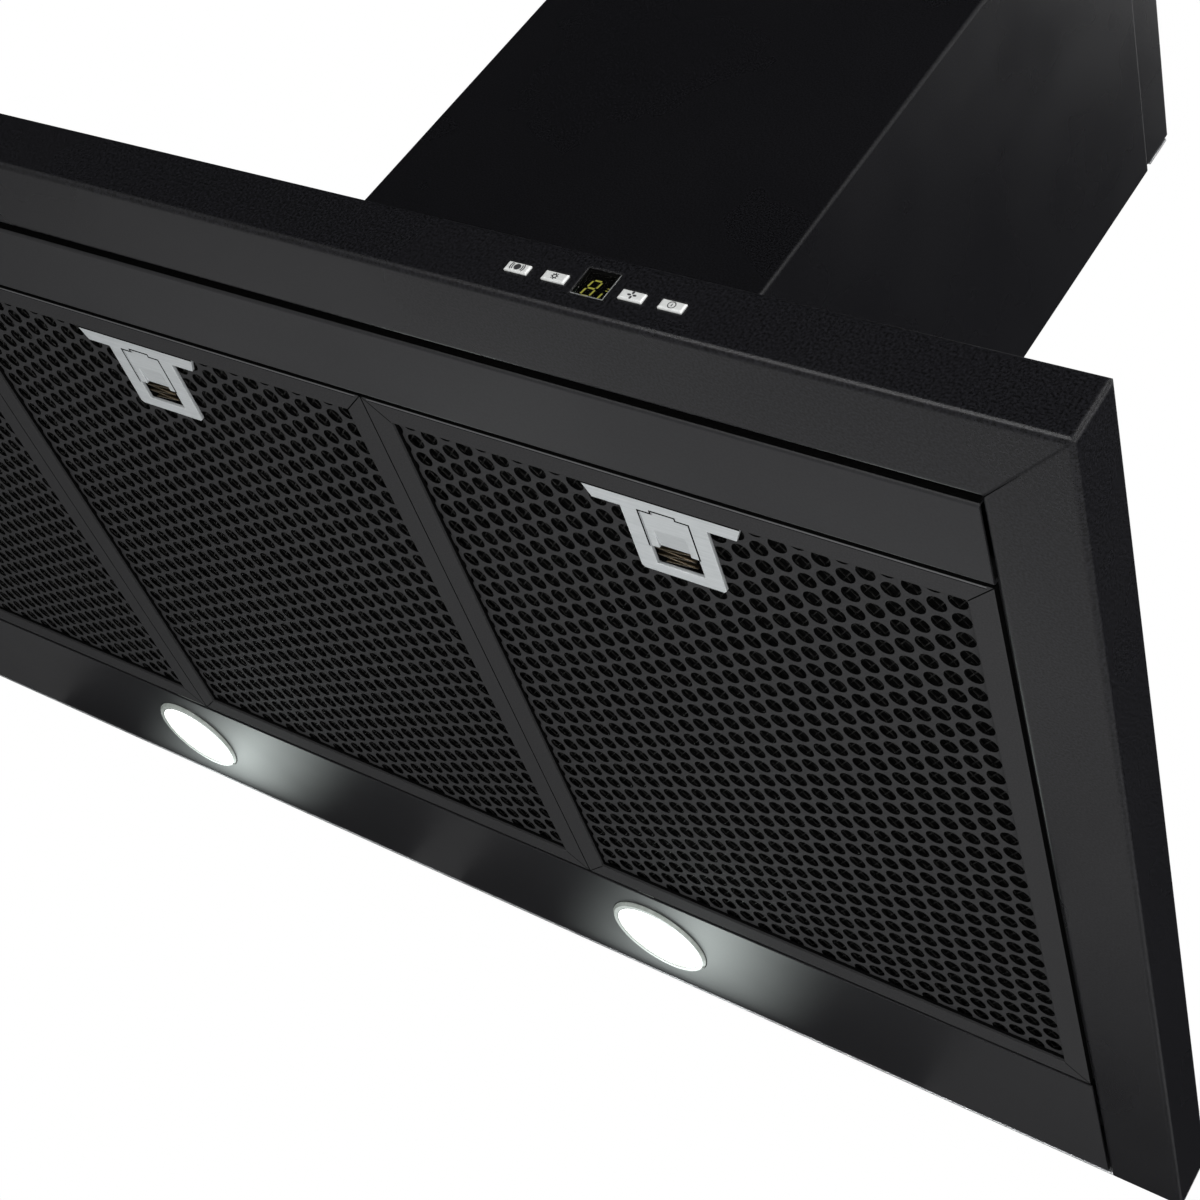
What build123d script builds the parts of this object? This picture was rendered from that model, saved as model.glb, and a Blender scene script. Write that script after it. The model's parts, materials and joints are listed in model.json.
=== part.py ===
"""Wall-mounted canopy range hood, 900 mm wide, with three grease filters and a telescopic chimney.

Millimetres. X runs to the right seen from the front, Y towards the wall, Z up. The back stands in the plane
Y = 0. The origin is the middle of the four wall fixing holes. Heights in the sizes below are counted from the
lower edge of the canopy's lip.
"""
import os
from math import sqrt

from build123d import *

# Canopy skin
canopy_width = 900.0
canopy_depth = 516.0
canopy_rise = 190.0
lip_height = 27.0
front_rim = 37.0
side_rim = 35.1
rim_return = 14.0
corner_radius = 2.0
sheet = 1.0
bend = 1.2
fit_play = 0.2

# Wall fixing
hang_height = 150.0
wall_hole_across = 320.0
wall_hole_up = 60.0
wall_hole_radius = 4.0

# Chimney
chimney_width = 268.0
chimney_depth = 262.0
lower_chimney_height = 450.0
upper_chimney_show = 36.0
chimney_return = 15.0
chimney_play = 0.8
bracket_height = 26.0
bracket_shelf = 30.0
bracket_margin = 2.0
bracket_slot_across = 120.0
bracket_slot_length = 14.0
bracket_slot_radius = 2.75

# Deck under the chimney
deck_margin = 4.0
deck_flange = 18.0
deck_hole_radius = 70.0

# Panels of the underside
panel_recess = 0.4
front_slot = 4.7
side_slot = 1.5
front_panel_depth = 39.4
panel_hook = 6.0
panel_bend = 0.3
light_panel_depth = 86.9
light_panel_flange = 20.0

# Filters, with face holes drawn four times as wide and as far apart as the real 8 mm ones
filter_count = 3
filter_height = 12.0
filter_gap = 0.6
filter_front_gap = 1.1
filter_rear_gap = 3.0
filter_rest = 5.0
rest_gap = 0.3
tab_width = 40.0
tab_spacing = 160.0
frame_border = 11.0
frame_sheet = 0.8
frame_turn = 2.8
face_sheet = 0.6
core_sheet = 0.5
pleat_count = 12
hole_width = 32.0
hole_pitch = 41.6

# Filter latches
latch_sheet = 1.5
latch_setback = 2.3
latch_bar_width = 70.4
latch_bar_depth = 7.0
latch_bar_taper = 3.0
latch_body_width = 38.5
latch_length = 42.0
latch_corner = 1.2
latch_window_width = 22.0
latch_window_length = 30.0
latch_play = 0.3
pad_length = 19.5
pad_dent_depth = 1.4
pad_dent_length = 10.5
pad_dent_margin = 3.5
pad_tab_width = 9.7
pad_tab_depth = 1.5
tongue_width = 12.0
tongue_sheet = 1.5
tongue_reach = 5.0
spring_sheet = 0.4
spring_height = 1.6
spring_folds = 5
spring_width = 15.0

# Lamps
lamp_spacing = 337.0
lamp_from_wall = 46.5
lamp_ring_radius = 28.0
lamp_lens_radius = 24.2
lamp_ring_wall = 1.0
lamp_ring_drop = 1.8
lamp_lens_drop = 0.9
lamp_lens_thickness = 2.4
lamp_ring_height = 8.0
lamp_sink_radius = 27.0
lamp_sink_height = 9.0
lamp_ring_bevel = 1.2
lamp_fin_pitch = 12.0
lamp_fin_gap = 5.0
lamp_fin_depth = 6.0
lamp_play = 0.1
lamp_hole_play = 0.3

# Controls in the lip
control_from_side = 180.0
control_height = 13.0
button_pitch = 16.0
button_width = 9.5
button_height = 4.2
button_proud = 0.8
button_travel = 0.8
button_play = 0.3
button_flange = 1.0
button_flange_sheet = 1.0
button_stem = 3.0
button_chamfer = 0.4
display_width = 13.8
display_height = 13.0
display_rise = 1.6
display_glass = 2.0
control_box_width = 96.0
control_box_height = 18.0
control_box_depth = 17.0
control_wall = 1.5
board_sheet = 1.6
board_depth = 11.0
switch_size = 6.0
switch_height = 3.0

# Blower
impeller_radius = 60.0
impeller_width = 80.0
blade_count = 20
blade_depth = 13.0
blade_sweep = 7.0
blade_bow = 2.0
blade_sheet = 1.2
impeller_ring = 3.0
hub_radius = 10.0
hub_length = 26.0
shaft_radius = 4.0
shaft_play = 0.05
cutoff_gap = 8.0
spiral_step = 9.0
scroll_wall = 2.0
scroll_side_gap = 8.0
outlet_inner_wall = 10.0
outlet_rise = 95.0
outlet_flange = 160.0
outlet_flange_sheet = 3.0
inlet_radius = 50.0
inlet_ring_reach = 6.0
inlet_ring_flange = 12.0
inlet_ring_sheet = 1.5
inlet_ring_flare = 5.0
motor_hole_radius = 30.0
motor_plate_radius = 46.0
motor_plate_sheet = 2.0
motor_radius = 40.0
motor_length = 58.0
motor_boss_radius = 14.0
motor_boss_length = 8.0
shaft_tail = 3.0

# Outlet collar and damper
collar_radius = 75.0
collar_wall = 1.2
collar_height = 60.0
collar_flange = 10.0
collar_flange_sheet = 1.5
flap_height = 22.0
flap_sheet = 1.2
flap_play = 1.5
flap_stop = 3.0
flap_stop_height = 2.0
rod_radius = 1.5
rod_inset = 0.5
knuckle_radius = 3.0
knuckle_length = 14.0
knuckle_play = 0.6
knuckle_offset = 22.0

# Electrical parts
terminal_box_x = -190.0
terminal_box_level = 70.0
terminal_box_width = 90.0
terminal_box_height = 60.0
terminal_box_depth = 42.0
terminal_box_wall = 2.0
terminal_lid_sheet = 2.5
capacitor_x = 150.0
capacitor_level = 70.0
capacitor_radius = 15.0
capacitor_length = 52.0
capacitor_stand = 4.0
capacitor_foot = 30.0
capacitor_foot_height = 14.0
driver_width = 120.0
driver_depth = 42.0
driver_height = 24.0
driver_rounding = 2.0
gland_from_side = 38.0
gland_from_wall = 45.0
gland_bore = 5.0
gland_neck = 8.0
gland_lip = 11.0
gland_lip_height = 3.0
gland_neck_height = 4.0

# Levels and edges that follow from the sizes above
half_width = canopy_width / 2
deck_level = lip_height + canopy_rise
deck_top = deck_level + sheet
deck_half = chimney_width / 2 + deck_margin
deck_front = -chimney_depth - deck_margin
outer_bend = bend + sheet
panel_outer_bend = panel_bend + sheet
panel_half = half_width - side_rim - side_slot
control_x = half_width - control_from_side
front_panel_front = front_rim + front_slot - canopy_depth
bay_front = front_panel_front + front_panel_depth
bay_rear = -light_panel_depth
panel_top = panel_recess + sheet
collar_y = -chimney_depth / 2
gland_x = gland_from_side - deck_half

os.makedirs("parts", exist_ok=True)


def level(height):
    """Horizontal plane at a height above the lip's lower edge."""
    return Plane.XY.offset(height - hang_height)


def facing_front(y):
    """Upright plane at y that faces the front: local x is X, local y is the height."""
    return Plane(origin=(0, y, -hang_height), x_dir=(1, 0, 0), z_dir=(0, -1, 0))


def facing_side(x):
    """Upright plane at x that faces right: local x is Y, local y is the height."""
    return Plane(origin=(x, 0, -hang_height), x_dir=(0, 1, 0), z_dir=(1, 0, 0))


def save(block, name):
    """Labels a finished piece and writes it to its own file."""
    block.part.label = name
    export_step(block.part, f"parts/{name}.step")


# Canopy skin: the sheets meet in mitres, which run out from the rim's corner and up the hips of the slope
rim_half = half_width - side_rim
rim_front = front_rim - canopy_depth
flange_half = deck_half - deck_flange
flange_front = deck_front + deck_flange

with BuildPart() as front_envelope:
    with BuildSketch(level(0)):
        with BuildLine():
            Polyline(
                (-half_width, -canopy_depth),
                (half_width, -canopy_depth),
                (rim_half, rim_front),
                (-rim_half, rim_front),
                close=True,
            )
        make_face()
    extrude(amount=lip_height)
    with BuildSketch(level(lip_height)):
        with BuildLine():
            Polyline(
                (-half_width, -canopy_depth),
                (half_width, -canopy_depth),
                (deck_half, deck_front),
                (flange_half, flange_front),
                (-flange_half, flange_front),
                (-deck_half, deck_front),
                close=True,
            )
        make_face()
    extrude(amount=canopy_rise)

with BuildPart() as side_envelope:
    with BuildSketch(level(0)):
        with BuildLine():
            Polyline(
                (half_width, -canopy_depth),
                (half_width, -sheet),
                (rim_half, -sheet),
                (rim_half, rim_front),
                close=True,
            )
        make_face()
    extrude(amount=lip_height)
    with BuildSketch(level(lip_height)):
        with BuildLine():
            Polyline(
                (half_width, -canopy_depth),
                (half_width, -sheet),
                (flange_half, -sheet),
                (flange_half, flange_front),
                (deck_half, deck_front),
                close=True,
            )
        make_face()
    extrude(amount=canopy_rise)

with BuildPart() as corner_envelope:
    with BuildSketch(level(0)) as plan:
        with Locations((0, -canopy_depth / 2)):
            Rectangle(canopy_width, canopy_depth)
        fillet(plan.vertices().group_by(Axis.Y)[0], corner_radius)
    extrude(amount=deck_level)

button_places = [control_x + step * button_pitch for step in (-2, -1, 1, 2)]
display_height_mid = control_height + display_rise

with BuildPart() as canopy_front:
    with BuildSketch(facing_side(0)):
        with BuildLine():
            FilletPolyline(
                (flange_front, deck_level),
                (deck_front, deck_level),
                (-canopy_depth, lip_height),
                (-canopy_depth, 0),
                (rim_front, 0),
                (rim_front, rim_return),
                radius=outer_bend,
            )
            offset(amount=sheet, side=Side.LEFT)
        make_face()
    extrude(amount=half_width, both=True)
    add(front_envelope.part, mode=Mode.INTERSECT)
    add(corner_envelope.part, mode=Mode.INTERSECT)
    with BuildSketch(facing_front(-canopy_depth)):
        for place in button_places:
            with Locations((place, control_height)):
                Rectangle(button_width + 2 * button_play, button_height + 2 * button_play)
        with Locations((control_x, display_height_mid)):
            Rectangle(display_width, display_height)
    extrude(amount=-2 * sheet, mode=Mode.SUBTRACT)
save(canopy_front, "canopy_front")

with BuildPart() as canopy_right:
    with BuildSketch(facing_front(0)):
        with BuildLine():
            FilletPolyline(
                (flange_half, deck_level),
                (deck_half, deck_level),
                (half_width, lip_height),
                (half_width, 0),
                (rim_half, 0),
                (rim_half, rim_return),
                radius=outer_bend,
            )
            offset(amount=sheet, side=Side.RIGHT)
        make_face()
    extrude(amount=canopy_depth)
    add(side_envelope.part, mode=Mode.INTERSECT)
    add(corner_envelope.part, mode=Mode.INTERSECT)
save(canopy_right, "canopy_right")

with BuildPart() as canopy_left:
    mirror(canopy_right.part, about=Plane.YZ)
save(canopy_left, "canopy_left")

with BuildPart() as canopy_back:
    with BuildSketch(facing_front(0)):
        with BuildLine():
            Polyline(
                (-half_width, panel_recess),
                (half_width, panel_recess),
                (half_width, lip_height),
                (deck_half, deck_level),
                (-deck_half, deck_level),
                (-half_width, lip_height),
                close=True,
            )
        make_face()
        with Locations((0, hang_height)):
            with GridLocations(wall_hole_across, wall_hole_up, 2, 2):
                Circle(wall_hole_radius, mode=Mode.SUBTRACT)
    extrude(amount=sheet)
save(canopy_back, "canopy_back")

with BuildPart() as canopy_deck:
    with BuildSketch(level(deck_level)):
        with Locations((0, deck_front / 2)):
            Rectangle(2 * deck_half, -deck_front)
        with Locations((0, collar_y)):
            Circle(deck_hole_radius, mode=Mode.SUBTRACT)
        with Locations((gland_x, -gland_from_wall)):
            Circle(gland_neck + fit_play, mode=Mode.SUBTRACT)
    extrude(amount=sheet)
save(canopy_deck, "canopy_deck")

# Panels of the underside: the front one hooks over the rim's return, the rear one is fixed to the back plate
filter_bottom = panel_recess
face_bottom = filter_bottom + frame_turn
tongue_bottom = face_bottom + face_sheet + latch_play
tongue_top = tongue_bottom + tongue_sheet
hem_top = tongue_bottom - rest_gap

with BuildPart() as front_panel:
    with BuildSketch(facing_side(0)):
        with BuildLine():
            FilletPolyline(
                (front_panel_front - front_slot - panel_hook, rim_return),
                (front_panel_front, rim_return),
                (front_panel_front, panel_recess),
                (bay_front, panel_recess),
                (bay_front, hem_top),
                radius=(bend, panel_outer_bend, panel_outer_bend),
            )
            offset(amount=sheet, side=Side.LEFT)
        make_face()
    extrude(amount=panel_half, both=True)
save(front_panel, "front_panel")

lamp_places = [-lamp_spacing / 2, lamp_spacing / 2]
ring_outer = lamp_lens_radius + lamp_play + lamp_ring_wall

with BuildPart() as light_panel:
    with BuildSketch(facing_side(0)):
        with BuildLine():
            FilletPolyline(
                (bay_rear, panel_recess),
                (-sheet, panel_recess),
                (-sheet, panel_recess + light_panel_flange),
                radius=outer_bend,
            )
            offset(amount=sheet, side=Side.LEFT)
        make_face()
    extrude(amount=panel_half, both=True)
    with BuildSketch(level(panel_recess)):
        for place in lamp_places:
            with Locations((place, -lamp_from_wall)):
                Circle(ring_outer + lamp_hole_play)
    extrude(amount=sheet, mode=Mode.SUBTRACT)
save(light_panel, "light_panel")

# Grease filters: channel frame with rear tabs, perforated face and mesh core, with a latch at the front edge
filter_pitch = 2 * panel_half / filter_count
filter_width = filter_pitch - filter_gap
filter_front = bay_front + filter_front_gap
filter_rear = bay_rear - filter_rear_gap
filter_depth = filter_rear - filter_front
filter_y = (filter_front + filter_rear) / 2
filter_top = filter_bottom + filter_height
tab_bottom = panel_top + rest_gap
opening_width = filter_width - 2 * frame_border
opening_depth = filter_depth - 2 * frame_border
inner_width = filter_width - 2 * frame_sheet
inner_depth = filter_depth - 2 * frame_sheet
core_bottom = tongue_top + latch_play
core_top = filter_top - frame_sheet - fit_play
latch_front = filter_front + frame_border + latch_setback
latch_bottom = face_bottom - latch_sheet
window_front = latch_front + latch_bar_depth
window_rear = window_front + latch_window_length
window_y = window_front + latch_window_length / 2
pad_bottom = latch_bottom + latch_play
pad_front = window_front + latch_play
pad_rear = pad_front + pad_length
pad_width = latch_window_width - 2 * latch_play
spring_front = pad_rear + latch_play + spring_sheet
spring_step = (window_rear - latch_play - spring_sheet - spring_front) / spring_folds
column_pitch = hole_pitch * sqrt(3) / 2
hole_columns = int((opening_width - hole_width) / column_pitch) + 1
hole_rows = int((opening_depth - hole_width) / hole_pitch) + 1
hole_places = []
for column in range(hole_columns):
    rows = hole_rows - column % 2
    column_x = (column - (hole_columns - 1) / 2) * column_pitch
    for row in range(rows):
        row_y = (row - (rows - 1) / 2) * hole_pitch
        beside_latch = abs(column_x) > (latch_bar_width + hole_width) / 2
        if beside_latch or filter_y + row_y > latch_front + latch_length + hole_width / 2:
            hole_places.append((column_x, row_y))
pleat_step = (inner_width - 2 * fit_play - 2 * core_sheet) / (2 * pleat_count)
pleat_points = []
for fold in range(2 * pleat_count + 1):
    fold_height = core_top - 2 * core_sheet if fold % 2 else core_bottom
    pleat_points.append(((fold - pleat_count) * pleat_step, fold_height))
filter_names = ["left", "middle", "right"] if filter_count == 3 else [str(n + 1) for n in range(filter_count)]

for index, side in enumerate(filter_names):
    filter_x = (index - (filter_count - 1) / 2) * filter_pitch

    with BuildPart() as filter_frame:
        with BuildSketch(level(filter_bottom)):
            with Locations((filter_x, filter_y)):
                Rectangle(filter_width, filter_depth)
        extrude(amount=filter_height)
        with BuildSketch(level(filter_bottom + frame_sheet)):
            with Locations((filter_x, filter_y)):
                Rectangle(inner_width, inner_depth)
        extrude(amount=filter_height - 2 * frame_sheet, mode=Mode.SUBTRACT)
        with BuildSketch(level(filter_bottom)):
            with Locations((filter_x, filter_y)):
                Rectangle(opening_width + 2 * frame_sheet, opening_depth + 2 * frame_sheet)
        extrude(amount=frame_turn)
        with BuildSketch(level(filter_bottom)):
            with Locations((filter_x, filter_y)):
                Rectangle(opening_width, opening_depth)
        extrude(amount=filter_height, mode=Mode.SUBTRACT)
        with BuildSketch(level(tab_bottom)):
            with Locations((filter_x, (filter_rear + bay_rear + filter_rest) / 2)):
                with GridLocations(tab_spacing, 0, 2, 1):
                    Rectangle(tab_width, bay_rear + filter_rest - filter_rear)
        extrude(amount=frame_sheet)
        with BuildSketch(facing_front(filter_front)):
            with Locations((filter_x, tongue_bottom + tongue_sheet / 2)):
                Rectangle(tongue_width + 2 * latch_play, tongue_sheet + 2 * latch_play)
        extrude(amount=-frame_sheet, mode=Mode.SUBTRACT)
    save(filter_frame, f"filter_frame_{side}")

    with BuildPart() as filter_face:
        with BuildSketch(level(face_bottom)):
            with Locations((filter_x, filter_y)):
                Rectangle(inner_width - 2 * fit_play, inner_depth - 2 * fit_play)
            with Locations(*[(filter_x + x, filter_y + y) for x, y in hole_places]):
                RegularPolygon(hole_width / 2, 6, mode=Mode.SUBTRACT)
            with Locations((filter_x, window_y)):
                Rectangle(latch_window_width, latch_window_length, mode=Mode.SUBTRACT)
        extrude(amount=face_sheet)
    save(filter_face, f"filter_face_{side}")

    with BuildPart() as filter_core:
        with BuildSketch(facing_front(filter_front + frame_sheet + fit_play)):
            with BuildLine():
                Polyline(*[(filter_x + x, height) for x, height in pleat_points])
                offset(amount=core_sheet, side=Side.LEFT, kind=Kind.INTERSECTION)
            make_face()
        extrude(amount=2 * fit_play - inner_depth)
    save(filter_core, f"filter_core_{side}")

    with BuildPart() as latch_plate:
        with BuildSketch(level(latch_bottom)) as outline:
            with Locations((filter_x, latch_front + latch_length / 2)):
                Rectangle(latch_body_width, latch_length)
            chamfer(outline.vertices().group_by(Axis.Y)[-1], latch_corner)
            with BuildLine():
                Polyline(
                    (filter_x - latch_bar_width / 2, latch_front),
                    (filter_x + latch_bar_width / 2, latch_front),
                    (filter_x + latch_bar_width / 2 - latch_bar_taper, window_front),
                    (filter_x - latch_bar_width / 2 + latch_bar_taper, window_front),
                    close=True,
                )
            make_face()
            with Locations((filter_x, window_y)):
                Rectangle(latch_window_width, latch_window_length, mode=Mode.SUBTRACT)
            with Locations((filter_x, window_front - pad_tab_depth / 2)):
                Rectangle(pad_tab_width + 2 * latch_play, pad_tab_depth, mode=Mode.SUBTRACT)
        extrude(amount=latch_sheet)
    save(latch_plate, f"latch_plate_{side}")

    with BuildPart() as latch_slider:
        with BuildSketch(level(pad_bottom)):
            with Locations((filter_x, pad_front + pad_length / 2)):
                Rectangle(pad_width, pad_length)
        extrude(amount=tongue_top - pad_bottom)
        with BuildSketch(facing_side(filter_x)):
            with BuildLine():
                Polyline(
                    (pad_rear - pad_dent_length, pad_bottom),
                    (pad_rear, pad_bottom),
                    (pad_rear, pad_bottom + pad_dent_depth),
                    close=True,
                )
            make_face()
        extrude(amount=pad_width / 2 - pad_dent_margin, both=True, mode=Mode.SUBTRACT)
        with BuildSketch(level(pad_bottom)):
            with Locations((filter_x, pad_front - pad_tab_depth / 2)):
                Rectangle(pad_tab_width, pad_tab_depth)
        extrude(amount=face_bottom - latch_play - pad_bottom)
        with BuildSketch(level(tongue_bottom)):
            with Locations((filter_x, (filter_front - tongue_reach + pad_front) / 2)):
                Rectangle(tongue_width, pad_front - filter_front + tongue_reach)
        extrude(amount=tongue_sheet)
    save(latch_slider, f"latch_slider_{side}")

    spring_points = []
    for fold in range(spring_folds + 1):
        fold_x = filter_x + spring_width / 2 * (-1) ** fold
        spring_points.append((fold_x, spring_front + fold * spring_step))
    with BuildPart() as latch_spring:
        with BuildSketch(level(face_bottom)):
            with BuildLine():
                Polyline(*spring_points)
                offset(amount=spring_sheet, side=Side.LEFT, kind=Kind.INTERSECTION)
            make_face()
        extrude(amount=spring_height)
    save(latch_spring, f"latch_spring_{side}")

# Lamps: a ring clipped through the light panel holds the lens below and the lamp body above
ring_inner = lamp_lens_radius + lamp_play
ring_bottom = panel_recess - lamp_ring_drop
ring_top = panel_recess + lamp_ring_height
lens_bottom = panel_recess - lamp_lens_drop
lens_top = lens_bottom + lamp_lens_thickness
sink_top = ring_top + lamp_sink_height

for lamp_x, side in zip(lamp_places, ("left", "right")):
    lamp_axis = Axis((lamp_x, -lamp_from_wall, 0), (0, 0, 1))

    with BuildPart() as lamp_ring:
        with BuildSketch(facing_front(-lamp_from_wall)) as ring_profile:
            with BuildLine():
                Polyline(
                    (lamp_x + ring_inner, ring_bottom),
                    (lamp_x + lamp_ring_radius, ring_bottom),
                    (lamp_x + lamp_ring_radius, panel_recess),
                    (lamp_x + ring_outer, panel_recess),
                    (lamp_x + ring_outer, ring_top),
                    (lamp_x + ring_inner, ring_top),
                    close=True,
                )
            make_face()
            chamfer(ring_profile.vertices().group_by(Axis.Y)[0].sort_by(Axis.X)[-1], lamp_ring_bevel)
        revolve(axis=lamp_axis)
    save(lamp_ring, f"lamp_ring_{side}")

    with BuildPart() as lamp_lens:
        with BuildSketch(level(lens_bottom)):
            with Locations((lamp_x, -lamp_from_wall)):
                Circle(lamp_lens_radius)
        extrude(amount=lamp_lens_thickness)
    save(lamp_lens, f"lamp_lens_{side}")

    with BuildPart() as lamp_body:
        with BuildSketch(level(lens_top)):
            with Locations((lamp_x, -lamp_from_wall)):
                Circle(lamp_lens_radius)
        extrude(amount=ring_top - lens_top)
        with BuildSketch(level(ring_top)):
            with Locations((lamp_x, -lamp_from_wall)):
                Circle(lamp_sink_radius)
        extrude(amount=lamp_sink_height)
        with BuildSketch(level(sink_top)):
            with Locations((lamp_x, -lamp_from_wall)):
                with GridLocations(lamp_fin_pitch, 0, int(2 * lamp_sink_radius / lamp_fin_pitch), 1):
                    Rectangle(lamp_fin_gap, 2 * lamp_sink_radius)
        extrude(amount=-lamp_fin_depth, mode=Mode.SUBTRACT)
    save(lamp_body, f"lamp_body_{side}")

# Controls: a tray behind the lip holds the board, whose switches the buttons press
lip_inner = sheet - canopy_depth
board_front = lip_inner + board_depth
switch_front = board_front - switch_height
flange_rear = lip_inner + button_play + button_flange_sheet
stem_rear = switch_front - button_travel - button_play

with BuildPart() as control_housing:
    with BuildSketch(facing_front(lip_inner)):
        with Locations((control_x, display_height_mid)):
            Rectangle(control_box_width, control_box_height)
    extrude(amount=-control_box_depth)
    with BuildSketch(facing_front(lip_inner)):
        with Locations((control_x, display_height_mid)):
            Rectangle(control_box_width - 2 * control_wall, control_box_height - 2 * control_wall)
    extrude(amount=control_wall - control_box_depth, mode=Mode.SUBTRACT)
save(control_housing, "control_housing")

with BuildPart() as circuit_board:
    with BuildSketch(facing_front(board_front)):
        with Locations((control_x, display_height_mid)):
            Rectangle(
                control_box_width - 2 * control_wall - 2 * fit_play,
                control_box_height - 2 * control_wall - 2 * fit_play,
            )
    extrude(amount=-board_sheet)
    with BuildSketch(facing_front(board_front)):
        for place in button_places:
            with Locations((place, control_height)):
                Rectangle(switch_size, switch_size)
    extrude(amount=switch_height)
save(circuit_board, "circuit_board")

with BuildPart() as display_window:
    with BuildSketch(facing_front(-canopy_depth)):
        with Locations((control_x, display_height_mid)):
            Rectangle(display_width - 2 * fit_play, display_height - 2 * fit_play)
    extrude(amount=-display_glass)
save(display_window, "display_window")

with BuildPart() as display_module:
    with BuildSketch(facing_front(display_glass - canopy_depth)):
        with Locations((control_x, display_height_mid)):
            Rectangle(display_width - 2 * fit_play, display_height - 2 * fit_play)
    extrude(amount=display_glass - canopy_depth - board_front)
save(display_module, "display_module")

for place, use in zip(button_places, ("light", "timer", "speed", "power")):
    with BuildPart() as button:
        with BuildSketch(facing_front(-canopy_depth - button_proud)):
            with Locations((place, control_height)):
                Rectangle(button_width, button_height)
        extrude(amount=-canopy_depth - button_proud - flange_rear)
        chamfer(button.faces().sort_by(Axis.Y)[0].edges(), button_chamfer)
        with BuildSketch(facing_front(flange_rear)):
            with Locations((place, control_height)):
                Rectangle(button_width + 2 * button_flange, button_height + 2 * button_flange)
        extrude(amount=button_flange_sheet)
        with BuildSketch(facing_front(flange_rear)):
            with Locations((place, control_height)):
                Rectangle(button_stem, button_stem)
        extrude(amount=flange_rear - stem_rear)
    save(button, f"button_{use}")

# Chimney: two covers open to the wall, the upper one sliding inside the lower one
lower_half = chimney_width / 2
upper_inset = sheet + chimney_play
upper_half = lower_half - upper_inset
upper_bottom = deck_top + rest_gap
lower_top = deck_top + lower_chimney_height
upper_top = lower_top + upper_chimney_show
bracket_level = upper_top - bracket_margin - bracket_height
bracket_sheet = upper_inset - rest_gap
bracket_half = upper_half - sheet - chimney_return - bracket_margin

with BuildPart() as lower_chimney:
    with BuildSketch(level(deck_top)):
        with BuildLine():
            FilletPolyline(
                (chimney_return - lower_half, 0),
                (-lower_half, 0),
                (-lower_half, -chimney_depth),
                (lower_half, -chimney_depth),
                (lower_half, 0),
                (lower_half - chimney_return, 0),
                radius=outer_bend,
            )
            offset(amount=sheet, side=Side.LEFT)
        make_face()
    extrude(amount=lower_chimney_height)
save(lower_chimney, "lower_chimney")

with BuildPart() as upper_chimney:
    with BuildSketch(level(upper_bottom)):
        with BuildLine():
            FilletPolyline(
                (chimney_return - upper_half, -upper_inset),
                (-upper_half, -upper_inset),
                (-upper_half, upper_inset - chimney_depth),
                (upper_half, upper_inset - chimney_depth),
                (upper_half, -upper_inset),
                (upper_half - chimney_return, -upper_inset),
                radius=outer_bend,
            )
            offset(amount=sheet, side=Side.LEFT)
        make_face()
    extrude(amount=upper_top - upper_bottom)
save(upper_chimney, "upper_chimney")

with BuildPart() as chimney_bracket:
    with BuildSketch(facing_front(0)):
        with Locations((0, bracket_level + bracket_height / 2)):
            Rectangle(2 * upper_half, bracket_height)
            with GridLocations(bracket_slot_across, 0, 2, 1):
                SlotOverall(bracket_slot_length, 2 * bracket_slot_radius, mode=Mode.SUBTRACT)
    extrude(amount=bracket_sheet)
    with BuildSketch(level(bracket_level)):
        with Locations((0, -bracket_shelf / 2)):
            Rectangle(2 * bracket_half, bracket_shelf)
    extrude(amount=bracket_sheet)
save(chimney_bracket, "chimney_bracket")

# Blower: a spiral housing hung under the deck, its outlet below the collar, with a bladed impeller inside
scroll_start = impeller_radius + cutoff_gap
outlet_outer = scroll_start + 3 * spiral_step
blower_y = collar_y - (outlet_inner_wall + outlet_outer) / 2
blower_level = deck_level - outlet_rise
scroll_half = impeller_width / 2 + scroll_side_gap
scroll_outside = scroll_half + scroll_wall
impeller_half = impeller_width / 2
blower_axis = Axis((0, blower_y, blower_level - hang_height), (1, 0, 0))


def scroll_profile(x, grow):
    """Spiral of three quarter arcs with a straight outlet, grown outwards from the air space."""
    first = scroll_start + grow
    second = first + spiral_step
    third = second + spiral_step
    with BuildSketch(facing_side(x)) as profile:
        with BuildLine():
            CenterArc((blower_y, blower_level), first, 90, 90)
            CenterArc((blower_y + spiral_step, blower_level), second, 180, 90)
            CenterArc((blower_y + spiral_step, blower_level + spiral_step), third, 270, 90)
            Polyline(
                (blower_y + spiral_step + third, blower_level + spiral_step),
                (blower_y + spiral_step + third, deck_level),
                (blower_y + outlet_inner_wall - grow, deck_level),
                (blower_y + outlet_inner_wall - grow, blower_level + first),
                (blower_y, blower_level + first),
            )
        make_face()
    return profile.sketch


scroll_outline = scroll_profile(-scroll_outside, scroll_wall)
scroll_space = scroll_profile(-scroll_half, 0)

with BuildPart() as blower_scroll:
    extrude(scroll_outline, amount=2 * scroll_outside)
    with BuildSketch(level(deck_level)):
        with Locations((0, collar_y)):
            Rectangle(outlet_flange, outlet_flange)
    extrude(amount=-outlet_flange_sheet)
    extrude(scroll_space, amount=2 * scroll_half, mode=Mode.SUBTRACT)
    with BuildSketch(facing_side(-scroll_outside)):
        with Locations((blower_y, blower_level)):
            Circle(inlet_radius + inlet_ring_flare + fit_play)
    extrude(amount=scroll_wall, mode=Mode.SUBTRACT)
    with BuildSketch(facing_side(scroll_half)):
        with Locations((blower_y, blower_level)):
            Circle(motor_hole_radius)
    extrude(amount=scroll_wall, mode=Mode.SUBTRACT)
save(blower_scroll, "blower_scroll")

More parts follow.
